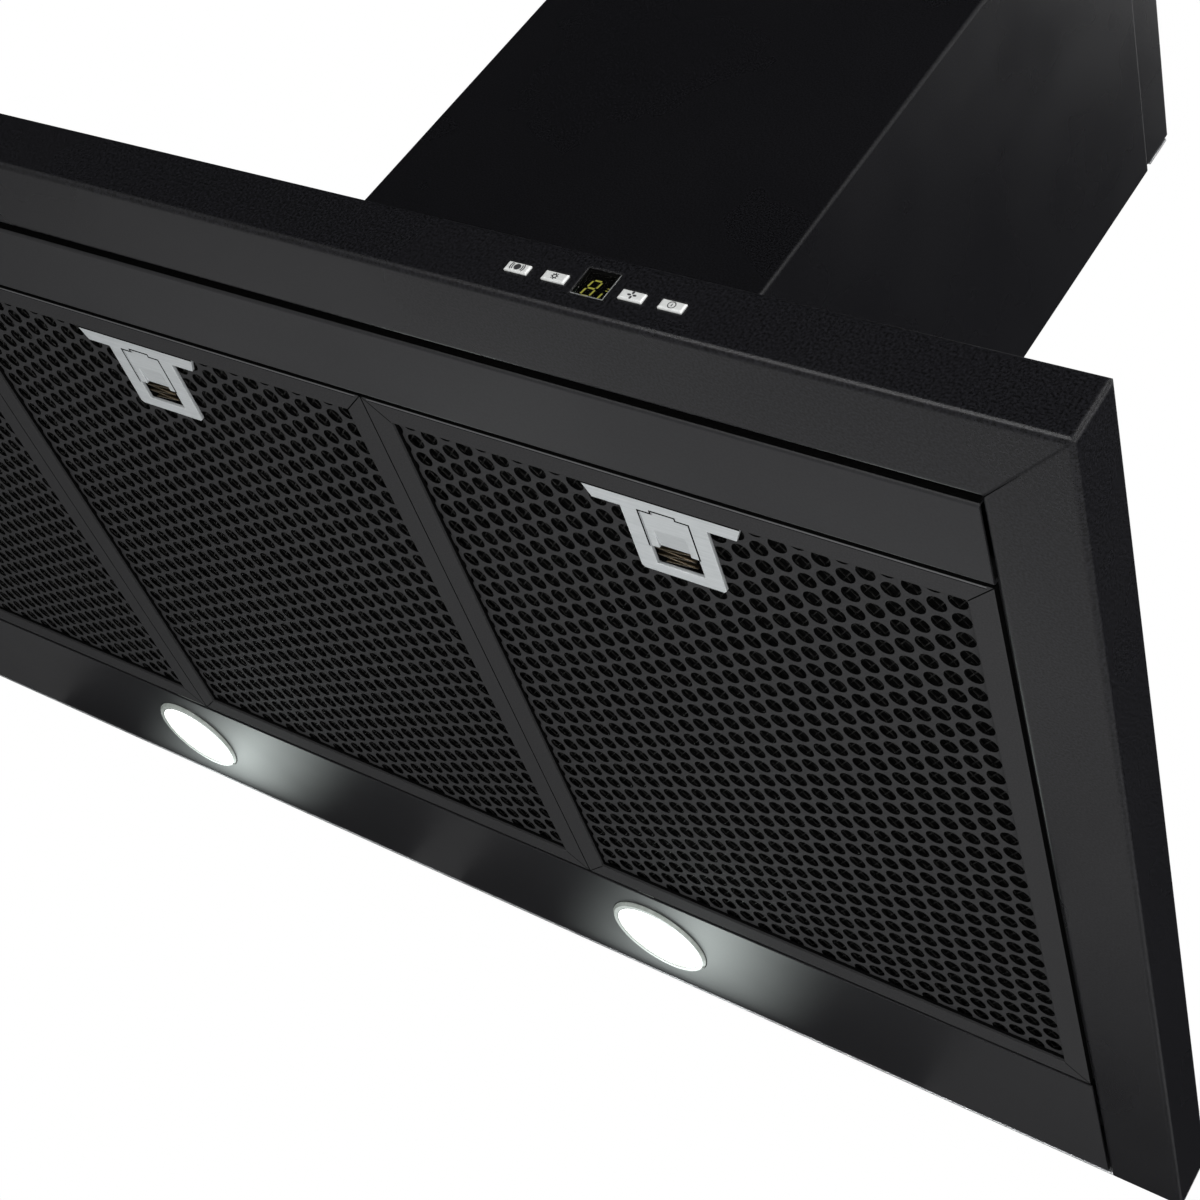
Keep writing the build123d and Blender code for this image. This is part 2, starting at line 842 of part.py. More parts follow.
with BuildPart() as inlet_ring:
    with BuildSketch(facing_front(blower_y)):
        with BuildLine():
            Polyline(
                (-scroll_outside, blower_level + inlet_radius + inlet_ring_flange),
                (-scroll_outside, blower_level + inlet_radius + inlet_ring_flare),
                (inlet_ring_reach - scroll_half, blower_level + inlet_radius),
            )
            offset(amount=inlet_ring_sheet, side=Side.RIGHT, kind=Kind.INTERSECTION)
        make_face()
    revolve(axis=blower_axis)
save(inlet_ring, "inlet_ring")

with BuildSketch() as blade:
    blade_root = impeller_radius - blade_depth
    with BuildLine():
        Polyline(
            (blade_root + blade_sheet, 0),
            (blade_root + blade_depth / 2, -blade_bow),
            (impeller_radius - 2 * blade_sheet, blade_sweep),
        )
        offset(amount=blade_sheet, side=Side.LEFT, kind=Kind.INTERSECTION)
    make_face()

with BuildPart() as blower_impeller:
    with BuildSketch(facing_side(impeller_ring / 2 - impeller_half)):
        with Locations((blower_y, blower_level)):
            with PolarLocations(0, blade_count):
                add(blade.sketch)
    extrude(amount=impeller_width - impeller_ring)
    with BuildSketch(facing_side(-impeller_half)):
        with Locations((blower_y, blower_level)):
            Circle(impeller_radius)
            Circle(blade_root, mode=Mode.SUBTRACT)
    extrude(amount=impeller_ring)
    with BuildSketch(facing_side(impeller_half)):
        with Locations((blower_y, blower_level)):
            Circle(impeller_radius)
    extrude(amount=-impeller_ring)
    with BuildSketch(facing_side(impeller_half)):
        with Locations((blower_y, blower_level)):
            Circle(hub_radius)
    extrude(amount=-hub_length)
    with BuildSketch(facing_side(impeller_half)):
        with Locations((blower_y, blower_level)):
            Circle(shaft_radius + shaft_play)
    extrude(amount=-hub_length, mode=Mode.SUBTRACT)
save(blower_impeller, "blower_impeller")

motor_front = scroll_outside + motor_plate_sheet
motor_rear = motor_front + motor_length

with BuildPart() as motor_plate:
    with BuildSketch(facing_side(scroll_outside)):
        with Locations((blower_y, blower_level)):
            Circle(motor_plate_radius)
            Circle(motor_boss_radius + fit_play, mode=Mode.SUBTRACT)
    extrude(amount=motor_plate_sheet)
save(motor_plate, "motor_plate")

with BuildPart() as motor:
    with BuildSketch(facing_side(motor_front)):
        with Locations((blower_y, blower_level)):
            Circle(motor_radius)
    extrude(amount=motor_length)
    with BuildSketch(facing_side(motor_front)):
        with Locations((blower_y, blower_level)):
            Circle(motor_boss_radius)
    extrude(amount=-motor_boss_length)
    with BuildSketch(facing_side(motor_front - motor_boss_length)):
        with Locations((blower_y, blower_level)):
            Circle(shaft_radius + shaft_play)
    extrude(amount=motor_boss_length + motor_length, mode=Mode.SUBTRACT)
save(motor, "motor")

with BuildPart() as fan_shaft:
    with BuildSketch(facing_side(impeller_half - hub_length)):
        with Locations((blower_y, blower_level)):
            Circle(shaft_radius)
    extrude(amount=motor_rear + shaft_tail - impeller_half + hub_length)
save(fan_shaft, "fan_shaft")

# Outlet collar on the deck, with two flaps on a rod that fall shut on a stop ring
collar_inner = collar_radius - collar_wall
rod_level = deck_top + flap_height
flap_radius = collar_inner - flap_play
flap_start = knuckle_radius + knuckle_play
stop_top = rod_level - flap_sheet / 2 - rest_gap

with BuildPart() as outlet_collar:
    with BuildSketch(level(deck_top)):
        with Locations((0, collar_y)):
            Circle(collar_radius + collar_flange)
    extrude(amount=collar_flange_sheet)
    with BuildSketch(level(deck_top)):
        with Locations((0, collar_y)):
            Circle(collar_radius)
    extrude(amount=collar_height)
    with BuildSketch(level(deck_top)):
        with Locations((0, collar_y)):
            Circle(collar_inner)
    extrude(amount=collar_height, mode=Mode.SUBTRACT)
    with BuildSketch(level(stop_top)):
        with Locations((0, collar_y)):
            Circle(collar_inner)
            Circle(collar_inner - flap_stop, mode=Mode.SUBTRACT)
    extrude(amount=-flap_stop_height)
    with BuildSketch(facing_side(-collar_radius)):
        with Locations((collar_y, rod_level)):
            Circle(rod_radius + shaft_play)
    extrude(amount=2 * collar_radius, mode=Mode.SUBTRACT)
save(outlet_collar, "outlet_collar")

with BuildPart() as damper_rod:
    with BuildSketch(facing_side(rod_inset - collar_radius)):
        with Locations((collar_y, rod_level)):
            Circle(rod_radius)
    extrude(amount=2 * (collar_radius - rod_inset))
save(damper_rod, "damper_rod")

for side, turn, knuckle_x in (
    ("rear", 1, knuckle_offset),
    ("front", -1, knuckle_offset + knuckle_length + knuckle_play),
):
    with BuildPart() as damper_flap:
        with BuildSketch(level(rod_level - flap_sheet / 2)):
            with Locations((0, collar_y)):
                Circle(flap_radius)
            with Locations((0, collar_y + turn * (flap_start + flap_radius / 2))):
                Rectangle(2 * flap_radius, flap_radius, mode=Mode.INTERSECT)
            for mirrored in (-1, 1):
                with Locations((mirrored * knuckle_x, collar_y + turn * flap_start)):
                    Rectangle(knuckle_length, 2 * flap_start)
        extrude(amount=flap_sheet)
        for mirrored in (-1, 1):
            with BuildSketch(facing_side(mirrored * knuckle_x - knuckle_length / 2)):
                with Locations((collar_y, rod_level)):
                    Circle(knuckle_radius)
            extrude(amount=knuckle_length)
        with BuildSketch(facing_side(-collar_radius)):
            with Locations((collar_y, rod_level)):
                Circle(rod_radius + shaft_play)
        extrude(amount=2 * collar_radius, mode=Mode.SUBTRACT)
    save(damper_flap, f"damper_flap_{side}")

# Electrical parts inside the canopy, and the gland where the supply lead goes through the deck
with BuildPart() as terminal_box:
    with BuildSketch(facing_front(-sheet)):
        with Locations((terminal_box_x, terminal_box_level)):
            Rectangle(terminal_box_width, terminal_box_height)
    extrude(amount=terminal_box_depth)
    with BuildSketch(facing_front(-sheet - terminal_box_depth)):
        with Locations((terminal_box_x, terminal_box_level)):
            Rectangle(terminal_box_width - 2 * terminal_box_wall, terminal_box_height - 2 * terminal_box_wall)
    extrude(amount=terminal_box_wall - terminal_box_depth, mode=Mode.SUBTRACT)
save(terminal_box, "terminal_box")

with BuildPart() as terminal_lid:
    with BuildSketch(facing_front(-sheet - terminal_box_depth)):
        with Locations((terminal_box_x, terminal_box_level)):
            Rectangle(terminal_box_width, terminal_box_height)
    extrude(amount=terminal_lid_sheet)
save(terminal_lid, "terminal_lid")

capacitor_y = -sheet - capacitor_stand - capacitor_radius

with BuildPart() as capacitor:
    with BuildSketch(facing_side(capacitor_x - capacitor_length / 2)):
        with Locations((capacitor_y, capacitor_level)):
            Circle(capacitor_radius)
    extrude(amount=capacitor_length)
    with BuildSketch(facing_front(-sheet)):
        with Locations((capacitor_x, capacitor_level)):
            Rectangle(capacitor_foot, capacitor_foot_height)
    extrude(amount=capacitor_stand + capacitor_radius)
save(capacitor, "capacitor")

with BuildPart() as lamp_driver:
    with BuildSketch(level(panel_top)):
        with Locations((0, -lamp_from_wall)):
            RectangleRounded(driver_width, driver_depth, driver_rounding)
    extrude(amount=driver_height)
save(lamp_driver, "lamp_driver")

with BuildPart() as cable_gland:
    with BuildSketch(facing_front(-gland_from_wall)):
        with BuildLine():
            Polyline(
                (gland_x + gland_bore, deck_level - gland_neck_height),
                (gland_x + gland_neck, deck_level - gland_neck_height),
                (gland_x + gland_neck, deck_top),
                (gland_x + gland_lip, deck_top),
                (gland_x + gland_lip, deck_top + gland_lip_height),
                (gland_x + gland_bore, deck_top + gland_lip_height),
                close=True,
            )
        make_face()
    revolve(axis=Axis((gland_x, -gland_from_wall, 0), (0, 0, 1)))
save(cable_gland, "cable_gland")
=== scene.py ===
"""Looks of a black wall-mounted canopy range hood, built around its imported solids.

Metres, in the frame of the solids: X runs to the right seen from the front, Y towards the wall, Z up.
"""
import json
import math

import bmesh
import bpy
from mathutils import Matrix, Vector


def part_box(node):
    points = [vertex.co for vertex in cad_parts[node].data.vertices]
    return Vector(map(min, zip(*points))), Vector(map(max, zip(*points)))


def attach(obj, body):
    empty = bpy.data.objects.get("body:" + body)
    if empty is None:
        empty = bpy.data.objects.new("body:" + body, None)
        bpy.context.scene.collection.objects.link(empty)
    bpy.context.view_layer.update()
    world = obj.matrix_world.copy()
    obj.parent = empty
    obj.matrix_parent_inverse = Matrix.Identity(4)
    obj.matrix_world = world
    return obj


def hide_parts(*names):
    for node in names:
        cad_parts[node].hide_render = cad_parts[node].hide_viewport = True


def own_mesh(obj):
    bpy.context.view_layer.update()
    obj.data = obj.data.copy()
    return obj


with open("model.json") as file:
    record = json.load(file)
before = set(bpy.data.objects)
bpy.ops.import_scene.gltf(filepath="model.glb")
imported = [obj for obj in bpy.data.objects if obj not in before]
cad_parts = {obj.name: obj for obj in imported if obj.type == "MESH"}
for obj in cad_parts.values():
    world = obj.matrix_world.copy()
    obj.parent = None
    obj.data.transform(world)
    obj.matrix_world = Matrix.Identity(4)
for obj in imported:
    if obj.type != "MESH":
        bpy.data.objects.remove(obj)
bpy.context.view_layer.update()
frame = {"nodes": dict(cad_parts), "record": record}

MM = 0.001
scene = bpy.context.scene

# Camera, fitted to the straight edges of the hood in the photograph
EYE = Vector((0.6739, -0.9690, -0.5225))
IMAGE_RIGHT = Vector((0.8050, 0.2589, 0.5336))
VIEW = Vector((-0.5246, 0.7302, 0.4374))
LENS_MM = 64.0
SENSOR_MM = 36.0

# Thin films, welding of points, and the normal of a flat face
FILM = 0.06 * MM
WELD = 0.001 * MM
FLAT_NORMAL = 0.999

# Filters: holes, latch, mesh, joint lines and shade
SIDES = ("left", "middle", "right")
HOLE_PITCH = 10.3 * MM
HOLE_RADIUS = 4.0 * MM
HOLE_POINTS = 16
HOLE_MARGIN = 0.4 * MM
LATCH_BAR = 7.0 * MM
TAB_WIDTH = 10.3 * MM
TAB_DEPTH = 1.5 * MM
LATCH_LINE = 0.75 * MM
LATCH_OVERHANG = 0.35 * MM
PAD_LENGTH = 19.8 * MM
WINDOW_WIDTH = 22.0 * MM
WINDOW_LENGTH = 30.0 * MM
FRAME_BORDER = 11.0 * MM
MESH_ROW = 3.4 * MM
MESH_STEP = 2.6 * MM
MESH_FIRST_ROW = 1.5
MESH_STRAND = 0.9 * MM
MESH_GAP = 0.3 * MM
MESH_MARGIN = 1.0 * MM
MITRE_WIDTH = 0.5 * MM
HEM_FROM_EDGE = 1.4 * MM
HEM_FROM_END = 2 * HEM_FROM_EDGE
HEM_WIDTH = 0.45 * MM
EDGE_LINE = 0.25 * MM
# Heights of the films of painted shade on the frames' walls
GAP_SHADE = 3.0 * MM
TURN_HEIGHT = 2.8 * MM
TURN_SHADE = 1.5 * MM
REAR_GAP = 3.0 * MM

# Rim, its corner joints and the slot behind it
FRONT_RIM = 37.0 * MM
SIDE_RIM = 35.1 * MM
SEAM_WIDTH = 0.45 * MM
SEAM_SHARE = 0.45
SEAM_TAPER = 0.2
SLOT_WIDTH = 4.7 * MM
SLOT_FOOT = 1.0 * MM
SLOT_SHADE = 8.0 * MM

# Lamps
LAMP_SIDES = ("left", "right")
LENS_CROWN = 0.7 * MM
LENS_RINGS = 10
LENS_POINTS = 72
RIM_LINE = 0.35 * MM
RIM_SEAM = 0.5 * MM

# Controls: signs on the buttons, digit, and a painted highlight along the display window's right and bottom edges
INK_SHEET = 0.05 * MM
LAMP_DISC = 1.4 * MM
RAY_RADII = (2.1 * MM, 2.85 * MM)
RAY_WIDTH = 0.4 * MM
RAY_DEGREES = 68
TIMER_RADIUS = 0.55 * MM
TIMER_WIDTH = 0.5 * MM
TICKS = 8
TICK_START, TICK_END = 1.15 * MM, 1.55 * MM
TICK_WIDTHS = (0.48 * MM, 0.36 * MM)
BLADES = 4
BLADE_CENTRE = 1.1 * MM
BLADE_RADIUS = 0.75 * MM
BLADE_SQUASH = 0.6
POWER_RADIUS = 1.25 * MM
POWER_WIDTH = 0.35 * MM
POWER_POINTS = 32
POWER_STROKE = (0.34 * MM, 1.3 * MM)
DIGIT_WIDTH = 3.7 * MM
DIGIT_HEIGHT = 7.5 * MM
DIGIT_STROKE = 0.7 * MM
DIGIT_CUT = 0.7
DIGIT_SLANT = 0.16
DIGIT_X = -2.2 * MM
DIGIT_Z = -0.6 * MM
SIDE_STROKE = 3.6 * MM
SIDE_STROKE_TOP = -0.3
SIDE_MARKS = 4.2 * MM
MARK_HEIGHTS = (0.1, 0.4)
MARK_SIZE = (0.9 * MM, 0.35 * MM)
EDGE_WIDTH = 0.4 * MM

# Materials: noise, rounded edges, and a lighter edge tone that is partly wear and partly painted highlight
COARSE_SCALE = 9.0
NOISE_DETAIL = 3.0
NOISE_SPREAD = (0.35, 0.65)
GRAIN_ROUGHNESS = 0.6
EDGE_RADIUS = 0.7 * MM
COAT_EDGE = 1.4 * MM
EDGE_SAMPLES = 4
WEAR_AND_HIGHLIGHT_TURN = (0.98, 0.8)
WEAR_AND_HIGHLIGHT_SHARE = 0.7
HOLE_SHADE = (0.004, 0.004, 0.004)

# Stage
FLOOR_LEVEL = -1.6
FLOOR_SIZE = 40.0
AMBIENT = 0.85

# Dark screens: name, place, target, width, height
SCREENS = (
    ("screen_front", (-1.3, -2.0, 1.45), (0.1, -0.45, 0.0), 4.0, 3.0),
    ("screen_side", (1.5, 1.7, 1.3), (0.1, -0.2, 0.2), 2.8, 2.6),
    ("screen_rear", (-1.05, 1.0, -0.33), (-1.05, 0.0, -0.33), 3.9, 0.86),
    ("screen_left", (-3.0, 0.9, -0.6), (0.0, 0.9, -0.6), 2.8, 2.0),
    ("screen_top", (-1.2, -0.2, 1.7), (0.1, -0.5, 0.0), 2.6, 2.6),
)

# Soft lamps: name, place, target, width, height, power in watts
SOFT_LAMPS = (
    ("key", (2.4, -1.9, 1.25), (0.3, -0.4, 0), 1.1, 1.1, 48.0),
    ("edge", (-0.5, -2.6, -0.6), (0.05, -0.45, -0.15), 1.0, 0.5, 48.0),
    ("under", (1.0, -1.0, -1.0), (0.4, -0.4, -0.15), 0.7, 0.7, 12.0),
    ("top", (1.0, 0.4, 3.2), (0.2, 0.4, 0), 2.0, 2.0, 70.0),
    ("floor", (-1.5, 2.9, 0.8), (-1.3, 1.4, -1.6), 1.5, 1.0, 45.0),
)

# Patch of light that each lamp throws on the wall just below the hood
PATCH_WIDTH = 0.3
PATCH_HEIGHT = 0.15
PATCH_GAP = 0.003
PATCH_DROP = 0.024
PATCH_SHIFT = -0.006
PATCH_RADIUS = 0.092
PATCH_LIGHT = 8.5
PATCH_COLOR = (0.91, 1.0, 0.97, 1.0)


def add_node(tree, kind, inputs=None, **settings):
    """Adds a shader node, sets its properties, and fills or links its inputs."""
    node = tree.nodes.new("ShaderNode" + kind)
    for name, value in settings.items():
        setattr(node, name, value)
    for socket, value in (inputs or {}).items():
        if isinstance(value, bpy.types.NodeSocket):
            tree.links.new(value, node.inputs[socket])
        else:
            node.inputs[socket].default_value = value
    return node


def ramp(tree, factor, low, high):
    """Two colours mixed by a noise."""
    node = add_node(tree, "ValToRGB", {"Fac": factor})
    for element, color, place in zip(node.color_ramp.elements, (low, high), NOISE_SPREAD):
        element.color = (*color, 1.0)
        element.position = place
    return node.outputs["Color"]


def shader_of(material):
    """The material's main shader."""
    return material.node_tree.nodes["Principled BSDF"]


def finish(name, dark, light, rough, grain, bump, metallic=0.0, specular=0.5, stretch=(1, 1, 1), wear_and_highlight=None,
           edge=EDGE_RADIUS):
    """Material with two mixed tones, uneven gloss, a fine grain and rounded edges, lightened partly as wear and
    partly as a painted highlight.

    The sizes of grain and bump are in millimetres.
    """
    material = bpy.data.materials.new(name)
    material.use_nodes = True
    tree = material.node_tree
    shader = shader_of(material)
    shader.inputs["Metallic"].default_value = metallic
    shader.inputs["Specular IOR Level"].default_value = specular
    place = add_node(tree, "TexCoord").outputs["Object"]
    stretched = add_node(tree, "Mapping", {"Vector": place, "Scale": stretch}).outputs["Vector"]
    fine = add_node(tree, "TexNoise", {"Vector": stretched, "Scale": 1 / (grain * MM), "Detail": NOISE_DETAIL,
                                       "Roughness": GRAIN_ROUGHNESS})
    coarse = add_node(tree, "TexNoise", {"Vector": place, "Scale": COARSE_SCALE, "Detail": NOISE_DETAIL})
    color = ramp(tree, fine.outputs["Fac"], dark, light)
    gloss = add_node(tree, "MapRange", {"Value": coarse.outputs["Fac"], "From Min": NOISE_SPREAD[0],
                                        "From Max": NOISE_SPREAD[1], "To Min": rough[0], "To Max": rough[1]})
    tree.links.new(gloss.outputs["Result"], shader.inputs["Roughness"])
    bevel = add_node(tree, "Bevel", {"Radius": edge}, samples=EDGE_SAMPLES)
    # Lighter tone on the edges: partly wear, partly a painted highlight
    if wear_and_highlight:
        flat = add_node(tree, "NewGeometry").outputs["True Normal"]
        turn = add_node(tree, "VectorMath", {0: bevel.outputs["Normal"], 1: flat}, operation="DOT_PRODUCT")
        wear_and_highlight_mask = add_node(tree, "MapRange", {"Value": turn.outputs["Value"], "From Min": WEAR_AND_HIGHLIGHT_TURN[0],
                                           "From Max": WEAR_AND_HIGHLIGHT_TURN[1], "To Min": 0.0, "To Max": WEAR_AND_HIGHLIGHT_SHARE})
        mix = add_node(tree, "MixRGB", {"Fac": wear_and_highlight_mask.outputs["Result"], "Color1": color, "Color2": (*wear_and_highlight, 1.0)})
        color = mix.outputs["Color"]
    tree.links.new(color, shader.inputs["Base Color"])
    height = add_node(tree, "Bump", {"Strength": 1.0, "Distance": bump * MM, "Height": fine.outputs["Fac"],
                                     "Normal": bevel.outputs["Normal"]})
    tree.links.new(height.outputs["Normal"], shader.inputs["Normal"])
    return material


def glowing(material, color, strength):
    """Lets a material give off light."""
    shader = shader_of(material)
    shader.inputs["Emission Color"].default_value = (*color, 1.0)
    shader.inputs["Emission Strength"].default_value = strength
    return material


def clear(material, alpha):
    """Lets a material show what is behind it."""
    shader_of(material).inputs["Alpha"].default_value = alpha
    return material


def paint_shade_on_walls(material, shade):
    """Paints deep shade onto the cut edges of a flat sheet, such as the walls of its holes."""
    tree = material.node_tree
    base = shader_of(material).inputs["Base Color"]
    normal = add_node(tree, "SeparateXYZ", {"Vector": add_node(tree, "TexCoord").outputs["Normal"]})
    level = add_node(tree, "Math", {0: normal.outputs["Z"]}, operation="ABSOLUTE")
    mix = add_node(tree, "MixRGB", {"Fac": level.outputs[0], "Color1": (*shade, 1.0),
                                    "Color2": base.links[0].from_socket})
    tree.links.new(mix.outputs["Color"], base)
    return material


# Finishes of the record's material slots
powder = finish("powder_coat", (0.002, 0.002, 0.0022), (0.0105, 0.0105, 0.0125), rough=(0.25, 0.32), grain=1.0,
                bump=0.035, specular=0.12, wear_and_highlight=(0.012, 0.012, 0.013), edge=COAT_EDGE)
panel = finish("panel_coat", (0.013, 0.013, 0.014), (0.017, 0.017, 0.0185), rough=(0.36, 0.43), grain=0.9, bump=0.006,
               specular=0.12, wear_and_highlight=(0.024, 0.024, 0.025))
filter_paint = finish("filter_coat", (0.027, 0.027, 0.028), (0.0335, 0.0335, 0.0345), rough=(0.6, 0.7), grain=0.8,
                      bump=0.01, specular=0.008, wear_and_highlight=(0.05, 0.05, 0.05))
# Face sheets with painted shade on the walls of their holes
face_paint = paint_shade_on_walls(filter_paint.copy(), HOLE_SHADE)
face_paint.name = "face_coat"
strands = finish("mesh_strands", (0.001, 0.001, 0.001), (0.028, 0.028, 0.0265), rough=(0.3, 0.5), grain=2.0,
                 bump=0.02, metallic=0.7, specular=0.05)
finishes = {
    "black_paint": powder,
    "filter_paint": filter_paint,
    "filter_mesh": finish("mesh_core", (0.001, 0.001, 0.001), (0.003, 0.003, 0.003), rough=(0.5, 0.7), grain=1.6,
                          bump=0.2, specular=0.03),
    "zinc_sheet": finish("zinc", (0.42, 0.43, 0.44), (0.6, 0.61, 0.62), rough=(0.32, 0.5), grain=14.0, bump=0.01,
                         metallic=1.0),
    "latch_steel": finish("satin_steel", (0.395, 0.416, 0.424), (0.454, 0.475, 0.483), rough=(0.4, 0.5), grain=0.5,
                          bump=0.006, metallic=0.4, stretch=(0.04, 1, 1), wear_and_highlight=(0.74, 0.76, 0.77)),
    "spring_steel": finish("bronze_spring", (0.05, 0.038, 0.022), (0.09, 0.068, 0.04), rough=(0.3, 0.45), grain=0.6,
                           bump=0.01, metallic=0.9),
    "lamp_rim": finish("lamp_rim", (0.14, 0.155, 0.14), (0.22, 0.235, 0.22), rough=(0.08, 0.16), grain=3.0,
                       bump=0.005),
    "lamp_lens": finish("lamp_lens", (0.85, 0.86, 0.86), (0.9, 0.9, 0.9), rough=(0.3, 0.4), grain=2.0, bump=0.02),
    "lamp_body": finish("cast_aluminium", (0.5, 0.5, 0.51), (0.62, 0.62, 0.63), rough=(0.4, 0.55), grain=1.2,
                        bump=0.03, metallic=1.0),
    "black_plastic": finish("black_plastic", (0.018, 0.018, 0.018), (0.03, 0.03, 0.03), rough=(0.4, 0.55), grain=0.8,
                            bump=0.02, wear_and_highlight=(0.05, 0.05, 0.05)),
    "grey_plastic": finish("grey_plastic", (0.26, 0.27, 0.28), (0.34, 0.35, 0.36), rough=(0.4, 0.5), grain=0.9,
                           bump=0.015),
    "board_green": finish("board_green", (0.01, 0.09, 0.035), (0.015, 0.13, 0.05), rough=(0.25, 0.35), grain=1.5,
                          bump=0.01),
    "display_glass": finish("smoked_glass", (0.004, 0.004, 0.004), (0.006, 0.006, 0.005), rough=(0.04, 0.07),
                            grain=4.0, bump=0.001),
    "display_black": finish("display_black", (0.006, 0.006, 0.005), (0.012, 0.012, 0.01), rough=(0.15, 0.25),
                            grain=2.0, bump=0.002),
    "button_silver": finish("button_silver", (0.515, 0.523, 0.515), (0.56, 0.57, 0.56), rough=(0.25, 0.35), grain=1.0,
                            bump=0.004, wear_and_highlight=(0.78, 0.78, 0.77)),
    "motor_steel": finish("turned_steel", (0.32, 0.33, 0.34), (0.46, 0.47, 0.48), rough=(0.3, 0.42), grain=0.6,
                          bump=0.01, metallic=1.0),
    "gland_rubber": finish("rubber", (0.012, 0.012, 0.012), (0.022, 0.022, 0.022), rough=(0.6, 0.75), grain=0.8,
                           bump=0.03),
}
glowing(finishes["lamp_lens"], color=(1.0, 1.0, 0.98), strength=5.0)
glowing(finishes["lamp_rim"], color=(0.8, 0.88, 0.82), strength=0.14)
clear(finishes["display_glass"], alpha=0.35)
ink = finish("ink", (0.01, 0.01, 0.012), (0.02, 0.02, 0.022), rough=(0.4, 0.5), grain=0.4, bump=0.002)
# Near-black for joint lines, and for painted shade in gaps, slots and on walls
joint_and_shade_black = finish("joint_and_shade_black", (0.002, 0.002, 0.002), (0.004, 0.004, 0.004), rough=(0.7, 0.8), grain=1.0, bump=0.002,
                specular=0.0)
seam_grey = finish("seam_grey", (0.05, 0.055, 0.05), (0.08, 0.085, 0.08), rough=(0.3, 0.4), grain=2.0, bump=0.002)
# Lighter tone of the painted highlight strip along the filters' front edges
painted_hem_highlight = finish("painted_hem_highlight", (0.085, 0.085, 0.088), (0.1, 0.1, 0.103), rough=(0.5, 0.6), grain=0.8, bump=0.01,
                  specular=0.008)
segments = glowing(finish("segments", (0.3, 0.3, 0.05), (0.36, 0.36, 0.06), rough=(0.3, 0.4), grain=0.5, bump=0.002),
                   color=(0.75, 0.7, 0.12), strength=0.28)

for subpart in frame["record"]["subparts"]:
    surface = frame["nodes"][subpart["node"]].data
    surface.materials.clear()
    surface.materials.append(finishes[subpart["material_slot"]])
for name in ("front_panel", "light_panel"):
    frame["nodes"][name].data.materials[0] = panel


def piece(name, mesh, material, body):
    """Adds a finished mesh as a piece that moves with a body."""
    mesh.materials.clear()
    mesh.materials.append(material)
    made = bpy.data.objects.new(name, mesh)
    scene.collection.objects.link(made)
    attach(made, body)
    return made


def filled(loops, thickness, place):
    """Mesh of a flat sheet inside the given outlines, where an outline inside another is a hole."""
    curve = bpy.data.curves.new("outline", "CURVE")
    curve.dimensions = "2D"
    curve.fill_mode = "BOTH"
    curve.extrude = thickness / 2
    for loop in loops:
        spline = curve.splines.new("POLY")
        spline.points.add(len(loop) - 1)
        for point, (x, y) in zip(spline.points, loop):
            point.co = (x, y, 0, 1)
        spline.use_cyclic_u = True
    drawing = bpy.data.objects.new("outline", curve)
    scene.collection.objects.link(drawing)
    mesh = bpy.data.meshes.new_from_object(drawing.evaluated_get(bpy.context.evaluated_depsgraph_get()))
    bpy.data.objects.remove(drawing)
    bpy.data.curves.remove(curve)
    work = bmesh.new()
    work.from_mesh(mesh)
    bmesh.ops.remove_doubles(work, verts=work.verts, dist=WELD)
    bmesh.ops.recalc_face_normals(work, faces=work.faces)
    work.to_mesh(mesh)
    work.free()
    for face in mesh.polygons:
        face.use_smooth = False
    mesh.transform(place)
    return mesh


def closed_mesh(work, name):
    """Mesh of finished work, with its faces turned outwards."""
    bmesh.ops.recalc_face_normals(work, faces=work.faces)
    mesh = bpy.data.meshes.new(name)
    work.to_mesh(mesh)
    work.free()
    return mesh


def circle(x, y, radius, points=24):
    """Outline of a circle."""
    turns = [math.tau * step / points for step in range(points)]
    return [(x + radius * math.cos(t), y + radius * math.sin(t)) for t in turns]


def turned(profile, points, centre):
    """Mesh of a profile of radii and heights turned round the upright line through centre."""
    work = bmesh.new()
    rings = []
    for radius, height in profile:
        if radius == 0:
            rings.append([work.verts.new((0, 0, height))])
        else:
            rings.append([work.verts.new((x, y, height)) for x, y in circle(0, 0, radius, points)])
    for lower, upper in zip(rings, rings[1:]):
        for step in range(points):
            after = (step + 1) % points
            corners = [lower[step % len(lower)], lower[after % len(lower)],
                       upper[after % len(upper)], upper[step % len(upper)]]
            # A ring that is one point gives a three-sided face
            work.faces.new(dict.fromkeys(corners))
    mesh = closed_mesh(work, "turned")
    mesh.transform(Matrix.Translation(centre))
    return mesh


def ring(x, y, radius, width, points=24):
    """Outlines of a flat ring."""
    return [circle(x, y, radius + width, points), circle(x, y, radius, points)]


def rectangle(x, y, width, height):
    """Outline of a rectangle about its middle."""
    return [(x + sx * width / 2, y + sy * height / 2) for sx, sy in ((-1, -1), (1, -1), (1, 1), (-1, 1))]


def arc_band(radius, width, start, end, points=10):
    """Outline of a stroke along an arc, between two angles in degrees."""
    turns = [math.radians(start + (end - start) * step / points) for step in range(points + 1)]
    outer = [((radius + width / 2) * math.cos(t), (radius + width / 2) * math.sin(t)) for t in turns]
    inner = [((radius - width / 2) * math.cos(t), (radius - width / 2) * math.sin(t)) for t in turns]
    return outer + inner[::-1]


def stroke(start, end, start_width, end_width):
    """Outline of a straight stroke whose width may taper."""
    start, end = Vector(start), Vector(end)
    across = (end - start).orthogonal().normalized()
    return [tuple(start + across * start_width / 2), tuple(end + across * end_width / 2),
            tuple(end - across * end_width / 2), tuple(start - across * start_width / 2)]


def middle(low, high):
    """Middle of a box."""
    return (low + high) / 2


def facing_front(x, y, z):
    """Places a flat drawing upright, facing the front."""
    return Matrix.Translation((x, y, z)) @ Matrix.Rotation(math.pi / 2, 4, "X")


